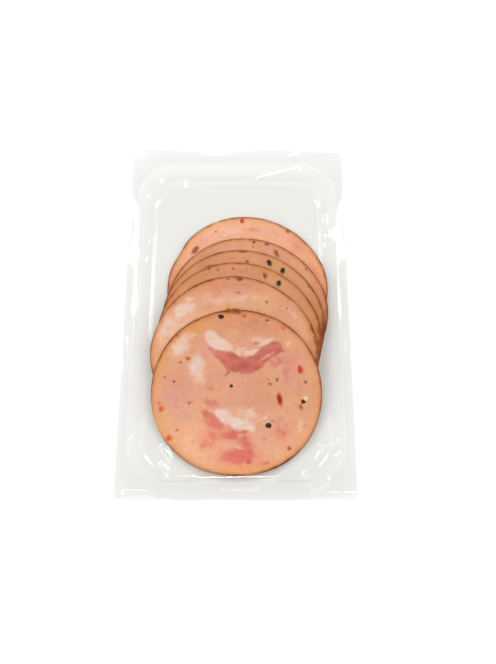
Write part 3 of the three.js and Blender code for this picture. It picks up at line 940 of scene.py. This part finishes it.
def ham_material():
    """Cooked pressed ham: fine paste with pieces of lean and fat, pressed into a casing and boiled.

    A blade has sliced it, so the cut face is smooth and moist: it has a soft, broken sheen, and
    light sinks a little way in and comes out warm. The casing has dried and browned at the edge."""
    slices = settings()[2]
    material, tree = new_material("Cooked pressed ham, sliced")
    place = add(tree, "TexCoord").outputs["Object"]
    names = ("edge", "casing", "wash", "wash_colour", "shade_and_browning", "lean", "fat", "spot", "spot_colour")
    painted = {name: add(tree, "Attribute", attribute_name=name).outputs for name in names}
    wash_colour, casing_left = painted["wash_colour"]["Color"], painted["casing"]["Fac"]

    grain = {}
    for name, (size, detail, rough, limits, stretch) in HAM_GRAIN.items():
        vector = place
        if stretch:
            vector = add(tree, "Mapping", {"Vector": place, "Scale": stretch}).outputs[0]
        inputs = {"Vector": vector, "Scale": 1 / (size * MM), "Detail": detail, "Roughness": rough}
        inputs = {"Value": add(tree, "TexNoise", inputs).outputs["Fac"], **dict(zip(SPREAD[1:], limits))}
        grain[name] = add(tree, "MapRange", inputs, interpolation_type="SMOOTHSTEP").outputs["Result"]

    # The grain of the meat breaks up the outline of each painted patch and of the browned edge.
    depth = {"even edge": painted["edge"]["Fac"]}
    for name in ("fat", "lean", "spot", "edge"):
        inputs = {0: painted[name]["Fac"], 1: grain[name]}
        depth[name] = add(tree, "Math", inputs, operation="ADD").outputs[0]
    share = {}
    for name, (measured, limits) in HAM_SHARES.items():
        inputs = dict(zip(SPREAD, (depth[measured], *limits)))
        share[name] = add(tree, "MapRange", inputs, interpolation_type="SMOOTHSTEP").outputs["Result"]
    products = {
        "wash": (painted["wash"]["Fac"], grain["wash"]),
        "stain": (share["stain"], casing_left),
        "skin": (share["skin"], casing_left),
    }
    for name, pair in products.items():
        share[name] = add(tree, "Math", dict(enumerate(pair)), operation="MULTIPLY").outputs[0]
    faint_wash = add(tree, "Math", {0: share["wash"], 1: 0.7}, operation="MULTIPLY").outputs[0]

    # Fat is milky, with soft streaks. Lean is rose muscle, with fibres along the band. The paste
    # drifts between peach and rose over a centimetre or two, is finely mottled, and is warmer at
    # the rim. Painted shade, with some browning, darkens the middle of the stack next to its ends.
    # Each spice or herb has a soft stain round it. The casing is a thin browned line, with its
    # stain, where the slice was cut out of its skin.
    layers = {
        "fat": (slices.fat, [(grain["milk"], "#E6C2B0", "MIX")]),
        "lean": (slices.lean, [(grain["fibre"], "#CE6F64", "MIX"), (faint_wash, wash_colour, "MIX")]),
        "paste": ("#E0A97F", [
            (grain["drift"], "#D99C80", "MIX"),
            (grain["cloud"], slices.paste, "MIX"),
            (share["wash"], wash_colour, "MIX"),
            (grain["mottle"], "#CE8064", "MIX"),
            (grain["fleck"], "#F8D2B8", "MIX"),
            (share["rim"], "#E09A5C", "MIX"),
            (share["fat"], "fat", "MIX"),
            (share["lean"], "lean", "MIX"),
            # painted shade, with some browning, in the middle of the stack
            (painted["shade_and_browning"]["Fac"], "#DFC6A1", "MULTIPLY"),
            (share["spot"], painted["spot_colour"]["Color"], "MIX"),
            (share["stain"], "#B06C36", "MIX"),
            (share["skin"], slices.casing, "MIX"),
        ]),
    }
    mixed = {}
    for name, (start, steps) in layers.items():
        mixed[name] = linear(start)
        for factor, tint, blend in steps:
            if isinstance(tint, str):
                tint = mixed[tint] if tint in mixed else linear(tint)
            inputs = {0: factor, 6: mixed[name], 7: tint}
            mixed[name] = add(tree, "Mix", inputs, data_type="RGBA", blend_type=blend).outputs[2]

    # The cut face is moist in some places and drier in others, and has a fine relief. Light sinks
    # about a millimetre and a half into the meat. The dry casing hardly shines.
    relief = 0
    for size, detail, rough, weight in HAM_RELIEF:
        inputs = {"Vector": place, "Scale": 1 / (size * MM), "Detail": detail, "Roughness": rough}
        inputs = {0: add(tree, "TexNoise", inputs).outputs["Fac"], 1: weight, 2: relief}
        relief = add(tree, "Math", inputs, operation="MULTIPLY_ADD").outputs[0]
    bump = add(tree, "Bump", {"Strength": 0.35, "Distance": 0.12 * MM, "Height": relief}).outputs[0]
    inputs = {
        "Base Color": mixed["paste"],
        "Roughness": grain["moist"],
        "Specular IOR Level": share["shine"],
        "Normal": bump,
        "Subsurface Weight": 0.12,
        "Subsurface Radius": (1.0, 0.35, 0.2),
        "Subsurface Scale": 1.6 * MM,
    }
    shader = add(tree, "BsdfPrincipled", inputs).outputs[0]
    add(tree, "OutputMaterial", {"Surface": shader})
    return material


def pepper_material(name, light, dark):
    """Peppercorn, dried and cracked: its hard wrinkled skin, or the pale core where it was cut.

    Both are dry, so they look rough and almost matt."""
    material, tree = new_material(name)
    place = add(tree, "TexCoord").outputs["Object"]
    grain = add(tree, "TexNoise", {"Vector": place, "Scale": 1 / (0.9 * MM), "Detail": 4.0}).outputs["Fac"]
    inputs = {0: grain, 6: linear(dark), 7: linear(light)}
    colour = add(tree, "Mix", inputs, data_type="RGBA").outputs[2]
    bump = add(tree, "Bump", {"Strength": 0.6, "Distance": 0.15 * MM, "Height": grain}).outputs[0]
    inputs = {"Base Color": colour, "Roughness": 0.6, "Specular IOR Level": 0.12, "Normal": bump}
    shader = add(tree, "BsdfPrincipled", inputs).outputs[0]
    add(tree, "OutputMaterial", {"Surface": shader})
    return material


def clear_material(name, tint, roughness, seal_shade=None):
    """Thin clear plastic: light goes straight through it, and it shines more at a glance.

    The tray is PET sheet, heated and drawn into a mould, which leaves it slightly wavy and a little
    less sharp in what it mirrors. The lid is cast and laminated film, stretched over the tray, and
    mirrors sharply. The share that each face mirrors rises from two per cent face on to a third at
    a glance, less than a thick pane's. Where film and tray are welded, the tint is darker: partly
    the slight haze of the seal, partly painted shade under the flange."""
    material, tree = new_material(name)
    seal_shade_share = add(tree, "Attribute", attribute_name="seal_shade").outputs["Fac"]
    inputs = {0: seal_shade_share, 6: linear(tint), 7: linear(seal_shade or tint)}
    colour = add(tree, "Mix", inputs, data_type="RGBA").outputs[2]
    facing = add(tree, "LayerWeight", {"Blend": 0.5}).outputs["Facing"]
    steep = add(tree, "Math", {0: facing, 1: 5.0}, operation="POWER").outputs[0]
    inputs = {"Value": steep, "To Min": 0.02, "To Max": 0.35}
    shine = add(tree, "MapRange", inputs).outputs["Result"]
    through = add(tree, "BsdfTransparent", {"Color": colour}).outputs[0]
    gloss = add(tree, "BsdfGlossy", {"Color": linear("#FFFFFF"), "Roughness": roughness}).outputs[0]
    shader = add(tree, "MixShader", {0: shine, 1: through, 2: gloss}).outputs[0]
    add(tree, "OutputMaterial", {"Surface": shader})
    return material


def floor_material(tint):
    """Seamless background paper, rolled and uncoated: white, with a matt face and faint tooth."""
    material, tree = new_material("White background paper")
    place = add(tree, "TexCoord").outputs["Object"]
    grain = add(tree, "TexNoise", {"Vector": place, "Scale": 1 / (2 * MM), "Detail": 2.0}).outputs["Fac"]
    bump = add(tree, "Bump", {"Strength": 0.05, "Distance": 0.05 * MM, "Height": grain}).outputs[0]
    inputs = {"Base Color": linear(tint), "Roughness": 0.9, "Normal": bump}
    shader = add(tree, "BsdfPrincipled", inputs).outputs[0]
    add(tree, "OutputMaterial", {"Surface": shader})
    return material


# ---- operators ---------------------------------------------------------------------------------

# Name, place and size in metres, and share of the stage's power for its kind. Three big soft
# boxes light the pack evenly. The strip and the four sparks are what the film's creases mirror.
LAMPS = (
    ("key_softbox", (-0.02, -0.6, 1.1), (1.4, 1.1), 1),
    ("left_softbox", (-1.3, -0.1, 1), (1.5, 1.5), 1.15),
    ("right_softbox", (1.3, -0.1, 1), (1.5, 1.5), 0.85),
    ("far_strip", (-0.03, 1.04, 0.465), (0.18, 0.08), 1.3),
    ("left_inner_spark", (-0.28, 0.52, 0.95), (0.22, 0.22), 1),
    ("left_outer_spark", (-0.53, 0.51, 0.88), (0.22, 0.22), 1),
    ("right_inner_spark", (0.28, 0.52, 0.95), (0.22, 0.22), 1),
    ("right_outer_spark", (0.53, 0.51, 0.88), (0.22, 0.22), 1),
)
FLOOR_SIZE, FLOOR_DROP = 6, 0.4 * MM


class HAMPACK_OT_stage(bpy.types.Operator):
    """Sets the floor, the lights and the camera"""

    bl_idname = "hampack.stage"
    bl_label = "Set the stage"

    def execute(self, context):
        stage = settings()[3]
        self.camera(context, stage)
        self.lights(context, stage)
        deselect()
        bpy.ops.mesh.primitive_plane_add(size=FLOOR_SIZE, location=(0, 0, -FLOOR_DROP))
        floor = context.object
        floor.name = "stage_floor"
        floor.data.materials.append(floor_material(stage.floor))
        return {"FINISHED"}

    def camera(self, context, stage):
        lens = bpy.data.cameras.new("photo_camera")
        lens.lens, lens.sensor_width, lens.clip_start = stage.lens, SENSOR, 10 * MM
        camera = bpy.data.objects.new("photo_camera", lens)
        context.scene.collection.objects.link(camera)
        camera.location = stage.camera_place
        camera.rotation_euler = (math.pi / 2 - stage.camera_tilt, 0, 0)
        context.scene.camera = camera
        context.scene.view_settings.view_transform = "Standard"
        # Light crosses more than a dozen faces of clear sheet on its way through the pack.
        context.scene.cycles.transparent_max_bounces = 32

    def lights(self, context, stage):
        world = bpy.data.worlds.new("white_surroundings")
        world.use_nodes = True
        world.node_tree.nodes["Background"].inputs["Strength"].default_value = stage.sky
        world.node_tree.nodes["Background"].inputs["Color"].default_value = linear("#FFFFFF")
        context.scene.world = world
        powers = {"softbox": stage.key, "strip": stage.spark, "spark": stage.spark}
        for name, place, size, power in LAMPS:
            lamp = bpy.data.lights.new(name, "AREA")
            lamp.shape, lamp.size, lamp.size_y = "RECTANGLE", *size
            lamp.energy = power * powers[name.split("_")[-1]]
            light = bpy.data.objects.new(name, lamp)
            context.scene.collection.objects.link(light)
            light.location = place
            light.rotation_euler = (-Vector(place)).to_track_quat("-Z", "Y").to_euler()


class HAMPACK_OT_tray(bpy.types.Operator):
    """Models the clear tray: floor, walls, shoulder and wavy flange"""

    bl_idname = "hampack.tray"
    bl_label = "Model the tray"

    def execute(self, context):
        form = Form()
        face = form.face(form.tray.sheet)
        piece = loft("clear_tray", face + form.face(0)[::-1], 0, form.tray.sheet)
        # The seal's darker tint, partly haze and partly painted shade under the flange, is strongest
        # next to the cavity and clears towards the cut edge.
        haze = np.concatenate((np.zeros(len(face) - len(FLANGE_STOPS)), SEAL_HAZE_AND_SHADE))
        store(piece, "seal_shade", [*np.repeat([*haze, *haze[::-1]], len(face[0])), 0, 0])
        material = clear_material("Clear PET, thermoformed", form.tray.plastic, 0.1, form.tray.seal_shade)
        piece.data.materials.append(material)
        place_piece(piece, "tray")
        return {"FINISHED"}


class HAMPACK_OT_lid(bpy.types.Operator):
    """Models the clear lid film, which follows the flange and sags over the cavity"""

    bl_idname = "hampack.lid"
    bl_label = "Model the lid film"

    def execute(self, context):
        form = Form()
        under = form.tray.flange_top + form.lid.clearance
        over = under + form.lid.thickness
        creases = [
            ([form.on_film(pixel) for pixel in ends], height * MM, width * MM)
            for *ends, height, width in CREASES
        ]
        faces = [self.face(form, z) for z in (under, over)]
        piece = loft("clear_lid", faces[0] + faces[1][::-1], *(f[0][:, 2].mean() for f in faces))
        self.pull(piece, creases)
        piece.data.materials.append(clear_material("Clear lid film, laminated", form.lid.film, 0.05))
        place_piece(piece, "lid_film")
        return {"FINISHED"}

    def pull(self, piece, creases):
        """Makes the mesh finer along each crease and pulls both faces of the film up there."""
        for _ in range(CREASE_PASSES):
            bpy.ops.object.mode_set(mode="EDIT")
            bpy.ops.mesh.select_mode(type="VERT")
            bpy.ops.mesh.select_all(action="DESELECT")
            bpy.ops.object.mode_set(mode="OBJECT")
            near = self.lift(coordinates(piece), creases) > CREASE_FOOT
            piece.data.vertices.foreach_set("select", near)
            bpy.ops.object.mode_set(mode="EDIT")
            bpy.ops.mesh.subdivide(number_cuts=1)
            bpy.ops.object.mode_set(mode="OBJECT")
        points = coordinates(piece)
        points[:, 2] += self.lift(points, creases)
        piece.data.vertices.foreach_set("co", points.ravel())
        piece.data.update()

    def lift(self, points, creases):
        total = np.zeros(len(points))
        for (start, end), height, width in creases:
            along = end - start
            part = np.clip((points[:, :2] - start) @ along / (along @ along), 0, 1)
            away = np.linalg.norm(points[:, :2] - start - part[:, None] * along, axis=1)
            total += height * np.exp(-((away / width) ** 2))
        return total

    def face(self, form, z):
        rings = []
        for scale in FILM_SCALES:
            ring = rounded_ring(*(scale * side for side in form.inner_edge()))
            sag = np.clip(1 - (ring / form.rim) ** 2, 0, 1).prod(axis=1)
            rings.append(at_height(ring, z - form.lid.sag * sag))
        rings += [form.flange_ring(stop, z) for stop in FLANGE_STOPS]
        for ring in rings:
            ring[:, 2] += ripple(ring)
        return rings


class HAMPACK_OT_slices(bpy.types.Operator):
    """Models the six shingled slices of ham with their marbling and peppercorns"""

    bl_idname = "hampack.slices"
    bl_label = "Model the slices"

    def execute(self, context):
        materials = (
            ham_material(),
            pepper_material("Cracked black peppercorn", "#4C2B10", "#0C0704"),
            pepper_material("Cut peppercorn", "#EAD8B8", "#C9AC84"),
        )
        for index in SLICES:
            piece = self.disc(index)
            paint_slice(piece, index)
            piece.data.materials.append(materials[0])
            self.add_pepper(piece, index, materials)
            place_piece(piece, f"ham_slice_{index}")
        return {"FINISHED"}

    def disc(self, index):
        """A round slice: a filled circle, extruded to its thickness, finer on top and rounded."""
        slices = settings()[2]
        turns = np.arange(slices.steps) * 2 * math.pi / slices.steps
        radius = outline_radius(index, turns)
        x = CENTRES[index].x + radius * np.cos(turns)
        y = CENTRES[index].y + radius * np.sin(turns)
        piece = add_ring(f"ham_slice_piece_{index}", np.column_stack((x, y, np.zeros(len(x)))))
        bpy.ops.mesh.fill_grid(span=slices.steps // 4)
        bpy.ops.mesh.extrude_region_move(TRANSFORM_OT_translate={"value": (0, 0, slices.thickness)})
        bpy.ops.mesh.subdivide(number_cuts=1)
        bpy.ops.mesh.select_all(action="SELECT")
        bpy.ops.mesh.normals_make_consistent(inside=False)
        bpy.ops.mesh.select_all(action="DESELECT")
        bpy.ops.mesh.select_mode(type="EDGE")
        bpy.ops.mesh.edges_select_sharp(sharpness=math.radians(60))
        bpy.ops.mesh.bevel(offset=slices.edge_round, segments=3, affect="EDGES")
        self.drape(piece, index)
        return finish_mesh(piece)

    def drape(self, piece, index):
        """Lays the flat slice over what is under it, with the faint unevenness of soft meat."""
        bpy.ops.object.mode_set(mode="OBJECT")
        points = coordinates(piece)
        height, size = MEAT_DRIFT
        lift = height * np.array([noise.noise(Vector(point) / size) for point in points])
        points[:, 2] += underside(index, points[:, 0], points[:, 1]) + lift
        piece.data.vertices.foreach_set("co", points.ravel())
        bpy.ops.object.mode_set(mode="EDIT")

    def add_pepper(self, piece, index, materials):
        """Sets cracked peppercorns into the slice, each a lump of its own."""
        lumps = []
        for slot, table, rise in ((1, PEPPER, PEPPER_RISE), (2, CUT_PEPPER, CUT_PEPPER_RISE)):
            for spot in table.get(index, []):
                lumps.append(self.lump(index, spot, rise, materials[slot]))
        if not lumps:
            return
        deselect()
        for lump in (*lumps, piece):
            lump.select_set(True)
        bpy.context.view_layer.objects.active = piece
        bpy.ops.object.join()

    def lump(self, index, spot, rise, material):
        slices = settings()[2]
        centre, first, second = spot_axes(index, spot)
        z = float(underside(index, *centre)) + slices.thickness
        deselect()
        bpy.ops.mesh.primitive_ico_sphere_add(subdivisions=3, radius=1)
        lump = bpy.context.object
        points = coordinates(lump)
        shift = Vector((*centre, 0)) / MM
        bumps = np.array([noise.noise(Vector(point) * 1.7 + shift) for point in points])
        points *= (1 + PEPPER_LUMPS * bumps)[:, None]
        flat = points[:, :1] * first + points[:, 1:2] * second + centre
        points = np.column_stack((flat, z + points[:, 2] * rise))
        lump.data.vertices.foreach_set("co", points.ravel())
        lump.data.materials.append(material)
        bpy.ops.object.mode_set(mode="EDIT")
        return finish_mesh(lump)


class HAMPACK_PT_panel(bpy.types.Panel):
    """Lists the pieces of the pack"""

    bl_idname = "HAMPACK_PT_panel"
    bl_label = "Ham pack"
    bl_space_type = "VIEW_3D"
    bl_region_type = "UI"
    bl_category = "Ham pack"

    def draw(self, context):
        scene = context.scene
        groups = (
            (HAMPACK_OT_stage, scene.hampack_stage),
            (HAMPACK_OT_tray, scene.hampack_tray),
            (HAMPACK_OT_slices, scene.hampack_slices),
            (HAMPACK_OT_lid, scene.hampack_lid),
        )
        for operator, group in groups:
            box = self.layout.box()
            box.operator(operator.bl_idname)
            for name in group.__annotations__:
                box.prop(group, name)


CLASSES = (
    HAMPACK_PG_tray,
    HAMPACK_PG_lid,
    HAMPACK_PG_slices,
    HAMPACK_PG_stage,
    HAMPACK_OT_stage,
    HAMPACK_OT_tray,
    HAMPACK_OT_lid,
    HAMPACK_OT_slices,
    HAMPACK_PT_panel,
)


def register():
    for cls in CLASSES:
        bpy.utils.register_class(cls)
    scene = bpy.types.Scene
    scene.hampack_tray = PointerProperty(type=HAMPACK_PG_tray)
    scene.hampack_lid = PointerProperty(type=HAMPACK_PG_lid)
    scene.hampack_slices = PointerProperty(type=HAMPACK_PG_slices)
    scene.hampack_stage = PointerProperty(type=HAMPACK_PG_stage)


def unregister():
    scene = bpy.types.Scene
    del scene.hampack_tray, scene.hampack_lid, scene.hampack_slices, scene.hampack_stage
    for cls in reversed(CLASSES):
        bpy.utils.unregister_class(cls)


def main():
    register()
    CENTRES.update((index, slice_centre(index)) for index in SLICES)
    bpy.ops.hampack.stage()
    bpy.ops.hampack.tray()
    bpy.ops.hampack.slices()
    bpy.ops.hampack.lid()
    deselect()


if __name__ == "__main__":
    main()
